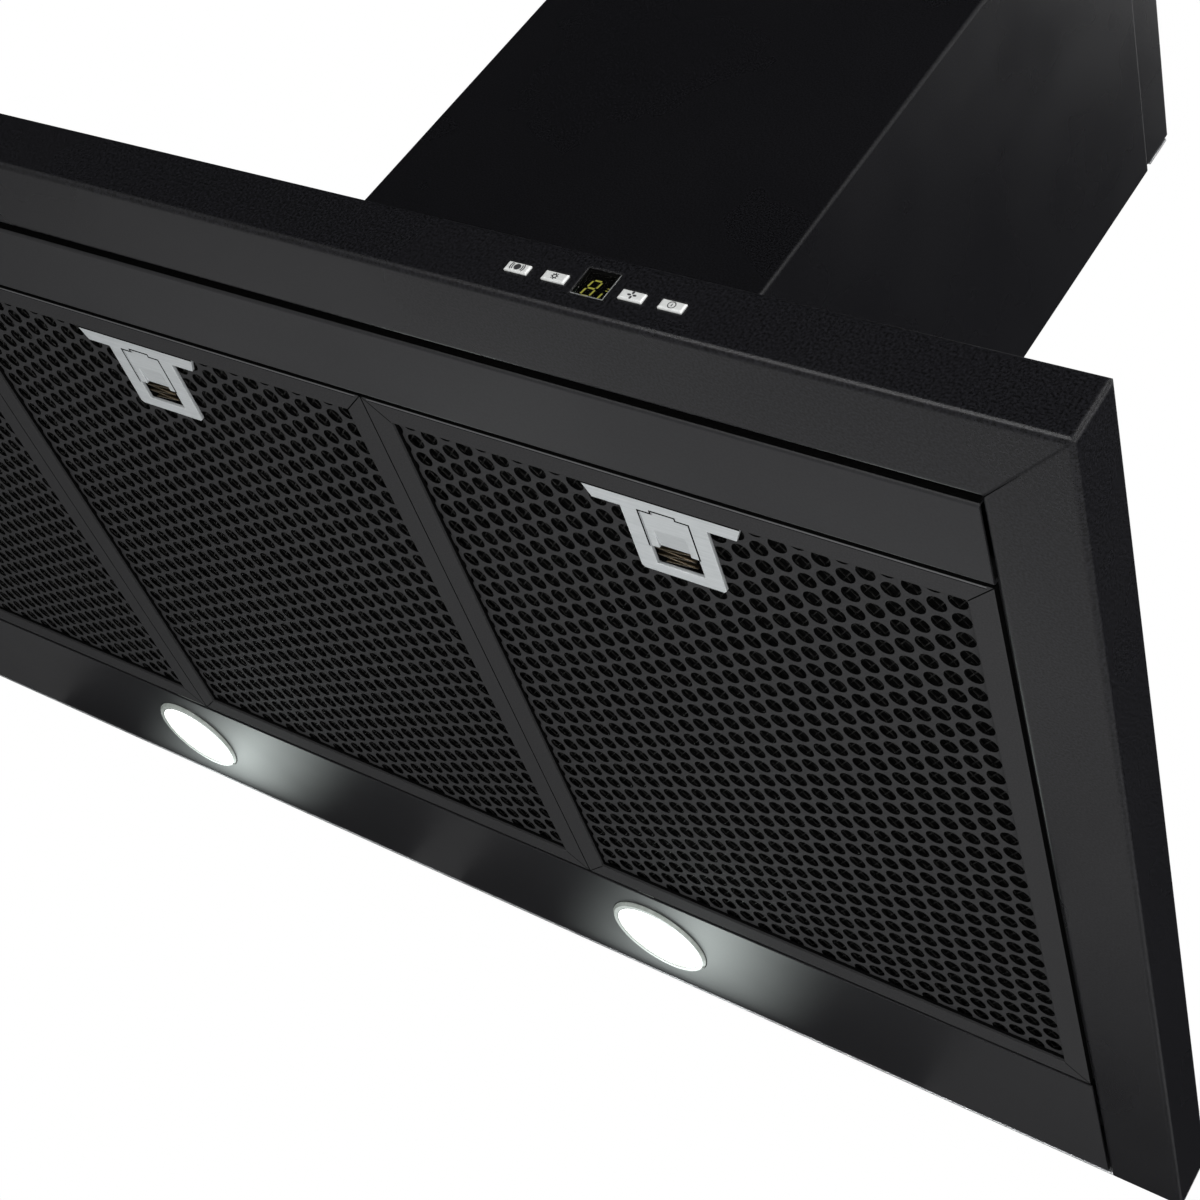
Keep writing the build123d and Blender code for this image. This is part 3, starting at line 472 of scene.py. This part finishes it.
def facing_side(x):
    """Places a flat drawing of depths and heights upright, facing the side."""
    return Matrix.Translation((x, 0, 0)) @ Matrix.Rotation(math.pi / 2, 4, "Z") @ facing_front(0, 0, 0)


def joined(meshes):
    """One mesh of several."""
    work = bmesh.new()
    for mesh in meshes:
        work.from_mesh(mesh)
    work.to_mesh(meshes[0])
    work.free()
    return meshes[0]


def film(loops, level):
    """Mesh of a thin level film inside the given outlines."""
    return filled(loops, FILM, Matrix.Translation((0, 0, level)))


# Filters: perforated face, expanded mesh behind it, joint lines, painted shade and painted highlights on the frame
# and latch
def hole_centres(low, high, window_low, window_high):
    """Middles of the staggered holes that fit in the sheet and keep clear of the latch window."""
    column_pitch = HOLE_PITCH * math.sqrt(3) / 2
    reach = HOLE_RADIUS + HOLE_MARGIN
    columns = int((high.x - low.x - 2 * reach) / column_pitch) + 1
    rows = int((high.y - low.y - 2 * reach) / HOLE_PITCH) + 1
    centre = middle(low, high)
    for column in range(columns):
        x = centre.x + (column - (columns - 1) / 2) * column_pitch
        count = rows - column % 2
        for row in range(count):
            y = centre.y + (row - (count - 1) / 2) * HOLE_PITCH
            beside = x < window_low.x - reach or x > window_high.x + reach
            behind = y < window_low.y - reach or y > window_high.y + reach
            if beside or behind:
                yield x, y


def perforated_face(side, window_low, window_high):
    """Face sheet with its true pattern of round holes, which runs under the frame's border."""
    low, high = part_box(f"filter_face_{side}")
    centre = middle(low, high)
    window = middle(window_low, window_high)
    size = window_high - window_low
    loops = [rectangle(centre.x, centre.y, high.x - low.x, high.y - low.y),
             rectangle(window.x, window.y, size.x, size.y)]
    for x, y in hole_centres(low, high, window_low, window_high):
        loops.append(circle(x, y, HOLE_RADIUS, HOLE_POINTS))
    mesh = filled(loops, high.z - low.z, Matrix.Translation((0, 0, centre.z)))
    made = piece(f"perforated_face_{side}", mesh, face_paint, f"filter_{side}")
    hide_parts(f"filter_face_{side}")


def strand(work, start, end, y, flip):
    """One zigzag strand of three-sided section between two places along X."""
    steps = max(2, int((end - start) / MESH_STEP))
    section = ((-MESH_STRAND / 2, 0), (MESH_STRAND / 2, MESH_STRAND / 3), (0, MESH_STRAND))
    rings = []
    for step in range(steps + 1):
        x = start + (end - start) * step / steps
        swing = MESH_ROW / 2 * (1 if (step + flip) % 2 else -1)
        rings.append([work.verts.new((x, y + swing + dy, dz)) for dy, dz in section])
    for first, second in zip(rings, rings[1:]):
        for edge in range(3):
            after = (edge + 1) % 3
            work.faces.new((first[edge], first[after], second[after], second[edge]))
    work.faces.new(rings[0][::-1])
    work.faces.new(rings[-1])


def mesh_layer(side, window_low, window_high):
    """Layer of expanded metal just behind the face, cut out round the latch."""
    low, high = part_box(f"filter_face_{side}")
    work = bmesh.new()
    rows = int((high.y - low.y - 2 * MESH_ROW) / MESH_ROW)
    for row in range(rows):
        y = low.y + MESH_ROW * (row + MESH_FIRST_ROW)
        spans = [(low.x + MESH_MARGIN, high.x - MESH_MARGIN)]
        if y < window_high.y + MESH_ROW:
            spans = [(spans[0][0], window_low.x - MESH_MARGIN), (window_high.x + MESH_MARGIN, spans[0][1])]
        for start, end in spans:
            strand(work, start, end, y, row % 2)
    mesh = closed_mesh(work, "mesh_layer")
    mesh.transform(Matrix.Translation((0, 0, high.z + MESH_GAP)))
    piece(f"mesh_layer_{side}", mesh, strands, f"filter_{side}")


def frame_box(side):
    """Low and high corner of a filter's frame, without the tabs behind it."""
    low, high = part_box(f"filter_frame_{side}")
    return low, Vector((high.x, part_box("light_panel")[0].y - REAR_GAP, high.z))


def frame_lines(side):
    """Joint lines on the frame's corners and hem, a painted shade line along the front edge, and a painted highlight
    strip between edge and hem.
    """
    low, high = frame_box(side)
    loops = []
    for x, turn_x in ((low.x, 1), (high.x, -1)):
        for y, turn_y in ((low.y, 1), (high.y, -1)):
            inner = (x + turn_x * FRAME_BORDER, y + turn_y * FRAME_BORDER)
            loops.append(stroke((x, y), inner, MITRE_WIDTH, MITRE_WIDTH))
    start, end = low.x + HEM_FROM_END, high.x - HEM_FROM_END
    # The line at the front edge is painted shade of the gap; the line at the hem is a joint
    for y, width in ((low.y + EDGE_LINE / 2, EDGE_LINE), (low.y + HEM_FROM_EDGE, HEM_WIDTH)):
        loops.append(stroke((start, y), (end, y), width, width))
    piece(f"frame_lines_{side}", film(loops, low.z), joint_and_shade_black, f"filter_{side}")
    # Painted highlight: a lighter strip between the front edge and the hem
    width = HEM_FROM_EDGE - HEM_WIDTH / 2 - EDGE_LINE
    y = low.y + EDGE_LINE + width / 2
    strip = stroke((start, y), (end, y), width, width)
    piece(f"painted_hem_highlight_{side}", film([strip], low.z), painted_hem_highlight, f"filter_{side}")


def wall_shades(side):
    """Painted deep shade on the frame's walls: black films outside in the gaps, and inside on the turned-in edges
    along the face sheet.
    """
    low, high = frame_box(side)
    centre = middle(low, high)
    films = []
    for inset, tall, top in ((0, GAP_SHADE, GAP_SHADE), (FRAME_BORDER, TURN_SHADE, TURN_HEIGHT)):
        z = low.z + top - tall / 2
        across = rectangle(centre.x, z, high.x - low.x - 2 * inset, tall)
        along = rectangle(centre.y, z, high.y - low.y - 2 * inset, tall)
        films.append(filled([across], FILM, facing_front(0, low.y + inset, 0)))
        for x in (low.x + inset, high.x - inset):
            films.append(filled([along], FILM, facing_side(x)))
    films.append(filled([across], FILM, facing_front(0, high.y - FRAME_BORDER, 0)))
    piece(f"wall_shades_{side}", joined(films), joint_and_shade_black, f"filter_{side}")


def latch_lines(side, window_low, window_high):
    """Painted shade lines that outline the slider in the latch plate's window and part the plate from the frame,
    where the gaps lie in shadow.
    """
    low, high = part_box(f"latch_plate_{side}")
    centre = middle(window_low, window_high).x
    rear = window_low.y + PAD_LENGTH
    corners = [(window_low.x, rear), (window_low.x, window_low.y), (centre - TAB_WIDTH / 2, window_low.y),
               (centre - TAB_WIDTH / 2, window_low.y - TAB_DEPTH), (centre + TAB_WIDTH / 2, window_low.y - TAB_DEPTH),
               (centre + TAB_WIDTH / 2, window_low.y), (window_high.x, window_low.y), (window_high.x, rear)]
    outer = []
    for x, y in corners:
        shift = LATCH_LINE if x > centre else -LATCH_LINE
        outer.append((x + shift, y if y == rear else y - LATCH_LINE))
    # Painted shade of the gap between the plate and the frame
    front_y = low.y + LATCH_LINE / 2 - LATCH_OVERHANG
    front = stroke((low.x, front_y), (high.x, front_y), LATCH_LINE, LATCH_LINE)
    mesh = film([corners + outer[::-1], front], low.z)
    piece(f"latch_lines_{side}", mesh, joint_and_shade_black, f"filter_{side}")


for side in SIDES:
    plate_low, plate_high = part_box(f"latch_plate_{side}")
    plate_x = middle(plate_low, plate_high).x
    window_low = Vector((plate_x - WINDOW_WIDTH / 2, plate_low.y + LATCH_BAR, 0))
    window_high = window_low + Vector((WINDOW_WIDTH, WINDOW_LENGTH, 0))
    perforated_face(side, window_low, window_high)
    mesh_layer(side, window_low, window_high)
    frame_lines(side)
    wall_shades(side)
    latch_lines(side, window_low, window_high)

# Latch springs: copies of the folded strips, which move with their filters
for side in SIDES:
    strip = frame["nodes"][f"latch_spring_{side}"]
    mesh = strip.data.copy()
    mesh.transform(strip.matrix_world)
    spring = piece(f"spring_strip_{side}", mesh, finishes["spring_steel"], f"filter_{side}")
    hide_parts(f"latch_spring_{side}")
    low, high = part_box(f"latch_spring_{side}")
    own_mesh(spring)

# Rim: ground joints that show from the inner corner to about half way out
for side, turn in (("left", -1), ("right", 1)):
    low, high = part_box(f"canopy_{side}")
    outer = Vector((low.x if turn < 0 else high.x, low.y))
    inner = outer + Vector((-turn * SIDE_RIM, FRONT_RIM))
    end = inner.lerp(outer, SEAM_SHARE)
    mesh = film([stroke(inner, end, SEAM_WIDTH, SEAM_TAPER * SEAM_WIDTH)], low.z)
    piece(f"rim_joint_{side}", mesh, joint_and_shade_black, "hood")

# Slot behind the rim: a black film paints the deep shade on its rear side
low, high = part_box("front_panel")
slot_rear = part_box("canopy_front")[0].y + FRONT_RIM + SLOT_WIDTH
shade = rectangle(middle(low, high).x, low.z + SLOT_FOOT + SLOT_SHADE / 2, high.x - low.x, SLOT_SHADE)
piece("slot_shade", filled([shade], FILM, facing_front(0, slot_rear, 0)), joint_and_shade_black, "hood")

# Lamps: a shallow dome in place of the flat lens, a dark line round the rim that is partly its joint and partly
# painted contact shade, and a fine line between the rim and the lens
for side in LAMP_SIDES:
    low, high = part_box(f"lamp_lens_{side}")
    radius = (high.x - low.x) / 2
    profile = [(0, high.z), (radius, high.z)]
    for step in range(LENS_RINGS):
        turn = math.pi / 2 * step / LENS_RINGS
        profile.append((radius * math.cos(turn), low.z - LENS_CROWN * math.sin(turn)))
    profile.append((0, low.z - LENS_CROWN))
    place = middle(low, high)
    dome = piece(f"lens_dome_{side}", turned(profile, LENS_POINTS, Vector((place.x, place.y, 0))),
                 finishes["lamp_lens"], "hood")
    for face in dome.data.polygons:
        face.use_smooth = abs(face.normal.z) < FLAT_NORMAL
    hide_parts(f"lamp_lens_{side}")
    low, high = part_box(f"lamp_ring_{side}")
    outer = (high.x - low.x) / 2
    # Dark line round the rim: its joint with the light panel, and painted contact shade
    mesh = film(ring(place.x, place.y, outer, RIM_LINE, LENS_POINTS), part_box("light_panel")[0].z)
    piece(f"rim_joint_and_shade_{side}", mesh, joint_and_shade_black, "hood")
    mesh = film(ring(place.x, place.y, radius, RIM_SEAM, LENS_POINTS), low.z)
    piece(f"rim_seam_{side}", mesh, seam_grey, "hood")


# Controls: printed signs on the buttons, a lit digit behind the window
def lamp_sign():
    """A disc with rays of light on both sides."""
    loops = [circle(0, 0, LAMP_DISC)]
    for radius in RAY_RADII:
        for facing in (0, 180):
            loops.append(arc_band(radius, RAY_WIDTH, facing - RAY_DEGREES / 2, facing + RAY_DEGREES / 2))
    return loops


def timer_sign():
    """A ring with short ticks round it."""
    loops = ring(0, 0, TIMER_RADIUS, TIMER_WIDTH)
    for direction in circle(0, 0, 1, TICKS):
        out = Vector(direction)
        loops.append(stroke(out * TICK_START, out * TICK_END, *TICK_WIDTHS))
    return loops


def fan_sign():
    """Four fan blades."""
    petal = [Vector((BLADE_CENTRE + x, y * BLADE_SQUASH)) for x, y in circle(0, 0, BLADE_RADIUS)]
    loops = []
    for blade in range(BLADES):
        turn = Matrix.Rotation(math.tau * blade / BLADES, 2)
        loops.append([tuple(turn @ point) for point in petal])
    return loops


def power_sign():
    """A ring round an upright stroke."""
    return ring(0, 0, POWER_RADIUS, POWER_WIDTH, POWER_POINTS) + [rectangle(0, 0, *POWER_STROKE)]


for use, sign in (("light", lamp_sign), ("timer", timer_sign), ("speed", fan_sign), ("power", power_sign)):
    low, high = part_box(f"button_{use}")
    place = middle(low, high)
    mesh = filled(sign(), INK_SHEET, facing_front(place.x, low.y, place.z))
    piece(f"sign_{use}", mesh, ink, f"button_{use}")


def slanted(loop):
    """Leans an outline to the right, as display digits do."""
    return [(x + y * DIGIT_SLANT, y) for x, y in loop]


def digit_loops():
    """The seven strokes of a lit eight, with a stroke and two short marks beside it."""
    w, h, s = DIGIT_WIDTH / 2, DIGIT_HEIGHT / 2, DIGIT_STROKE
    cut = DIGIT_CUT * s
    loops = []
    for y in (-h, 0, h):
        loops.append(stroke((cut - w, y), (w - cut, y), s, s))
    for x in (-w, w):
        for y in (-h, 0):
            loops.append(stroke((x, y + cut), (x, y + h - cut), s, s))
    loops.append(stroke((w + SIDE_STROKE, -h), (w + SIDE_STROKE, SIDE_STROKE_TOP * h), s, s))
    for height in MARK_HEIGHTS:
        loops.append(rectangle(w + SIDE_MARKS, height * h, *MARK_SIZE))
    return [slanted(loop) for loop in loops]


low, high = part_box("display_module")
place = middle(low, high)
digit_place = facing_front(place.x + DIGIT_X, low.y, place.z + DIGIT_Z)
piece("display_digit", filled(digit_loops(), INK_SHEET, digit_place), segments, "hood")

low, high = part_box("display_window")
place = middle(low, high)
width, height = high.x - low.x, high.z - low.z
# Painted highlight: a lighter strip on the glass's right and bottom edges only
edge_loop = [(-width / 2, -height / 2), (width / 2, -height / 2), (width / 2, height / 2),
             (width / 2 - EDGE_WIDTH, height / 2), (width / 2 - EDGE_WIDTH, EDGE_WIDTH - height / 2),
             (-width / 2, EDGE_WIDTH - height / 2)]
display_highlight_paint = finish("display_edge_highlight", (0.35, 0.36, 0.36), (0.5, 0.51, 0.51), rough=(0.15, 0.25), grain=1.0, bump=0.002,
                  metallic=0.6)
mesh = filled([edge_loop], INK_SHEET, facing_front(place.x, low.y, place.z))
piece("display_edge", mesh, display_highlight_paint, "hood")


# Stage: pale floor, white surroundings, soft lamps, patches of light and screens that keep the black surfaces black
def studio_world():
    """White surroundings, seen as such by the camera, metal and glass, with a plain level of light."""
    world = bpy.data.worlds.new("studio")
    scene.world = world
    world.use_nodes = True
    tree = world.node_tree
    path = add_node(tree, "LightPath")
    seen = add_node(tree, "Math", {0: path.outputs["Is Camera Ray"], 1: path.outputs["Is Glossy Ray"]},
                    operation="MAXIMUM")
    seen = add_node(tree, "Math", {0: seen.outputs[0], 1: path.outputs["Is Transmission Ray"]}, operation="MAXIMUM")
    level = add_node(tree, "MapRange", {"Value": seen.outputs[0], "To Min": AMBIENT, "To Max": 1.0})
    tree.links.new(level.outputs["Result"], tree.nodes["Background"].inputs["Strength"])
    tree.nodes["Background"].inputs["Color"].default_value = (1, 1, 1, 1)


def panel_mesh(width, height):
    """Plain sheet about the origin, facing up."""
    mesh = bpy.data.meshes.new("sheet")
    mesh.from_pydata([(x, y, 0) for x, y in rectangle(0, 0, width, height)], [], [(0, 1, 2, 3)])
    return mesh


def staged(name, mesh, material, place):
    """Adds a stage object, which isn't part of the hood."""
    mesh.materials.append(material)
    made = bpy.data.objects.new(name, mesh)
    made.matrix_world = place
    scene.collection.objects.link(made)
    return made


def aimed(place, target):
    """Matrix at a place whose local -Z points at the target."""
    turn = (Vector(target) - Vector(place)).to_track_quat("-Z", "Y")
    return Matrix.Translation(place) @ turn.to_matrix().to_4x4()


def soft_lamp(name, place, target, width, height, power):
    """Soft light aimed at a target."""
    light = bpy.data.lights.new(name, "AREA")
    light.shape = "RECTANGLE"
    light.size = width
    light.size_y = height
    light.energy = power
    made = bpy.data.objects.new(name, light)
    made.matrix_world = aimed(place, target)
    made.visible_camera = False
    scene.collection.objects.link(made)
    return made


def dark_screen(name, place, target, width, height):
    """Dark cloth that black surfaces reflect, out of the camera's sight."""
    screen = staged(name, panel_mesh(width, height), screen_cloth, aimed(place, target))
    screen.visible_camera = False


def wall_patch(side):
    """Bright patch on the wall under a lamp, which the light panel mirrors, out of the camera's sight."""
    low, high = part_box(f"lamp_ring_{side}")
    material = bpy.data.materials.new(f"wall_patch_{side}")
    material.use_nodes = True
    tree = material.node_tree
    tree.nodes.clear()
    spread = add_node(tree, "Mapping", {"Vector": add_node(tree, "TexCoord").outputs["Object"],
                                        "Location": (0, (PATCH_DROP - PATCH_HEIGHT / 2) / PATCH_RADIUS, 0),
                                        "Scale": [1 / PATCH_RADIUS] * 3})
    fade = add_node(tree, "TexGradient", {"Vector": spread.outputs["Vector"]}, gradient_type="QUADRATIC_SPHERE")
    light = add_node(tree, "MapRange", {"Value": fade.outputs["Fac"], "To Max": PATCH_LIGHT})
    glow = add_node(tree, "Emission", {"Color": PATCH_COLOR, "Strength": light.outputs["Result"]})
    out = add_node(tree, "OutputMaterial", {"Surface": glow.outputs["Emission"]})
    out.is_active_output = True
    place = Vector((middle(low, high).x + PATCH_SHIFT, PATCH_GAP, low.z - PATCH_GAP - PATCH_HEIGHT / 2))
    patch = staged(f"wall_patch_{side}", panel_mesh(PATCH_WIDTH, PATCH_HEIGHT), material,
                   aimed(place, place + Vector((0, 1, 0))))
    patch.visible_camera = False
    patch.visible_diffuse = False


studio_world()
floor_paint = finish("floor", (0.78, 0.78, 0.78), (0.82, 0.82, 0.82), rough=(0.7, 0.8), grain=20.0, bump=0.01,
                     specular=0.1)
staged("floor", panel_mesh(FLOOR_SIZE, FLOOR_SIZE), floor_paint, Matrix.Translation((0, 0, FLOOR_LEVEL)))
screen_cloth = finish("screen", (0.01, 0.01, 0.01), (0.015, 0.015, 0.015), rough=(0.9, 0.95), grain=5.0, bump=0.05,
                      specular=0.0)
for screen in SCREENS:
    dark_screen(*screen)
for side in LAMP_SIDES:
    wall_patch(side)
lamps = {settings[0]: soft_lamp(*settings) for settings in SOFT_LAMPS}
# The edge lamp only gives the edges their highlights
lamps["edge"].visible_diffuse = False

camera_data = bpy.data.cameras.new("camera")
camera_data.lens = LENS_MM
camera_data.sensor_width = SENSOR_MM
camera = bpy.data.objects.new("camera", camera_data)
image_up = IMAGE_RIGHT.cross(VIEW).normalized()
camera.matrix_world = Matrix.Translation(EYE) @ Matrix((IMAGE_RIGHT, image_up, -VIEW)).transposed().to_4x4()
scene.collection.objects.link(camera)
scene.camera = camera
scene.view_settings.view_transform = "Standard"
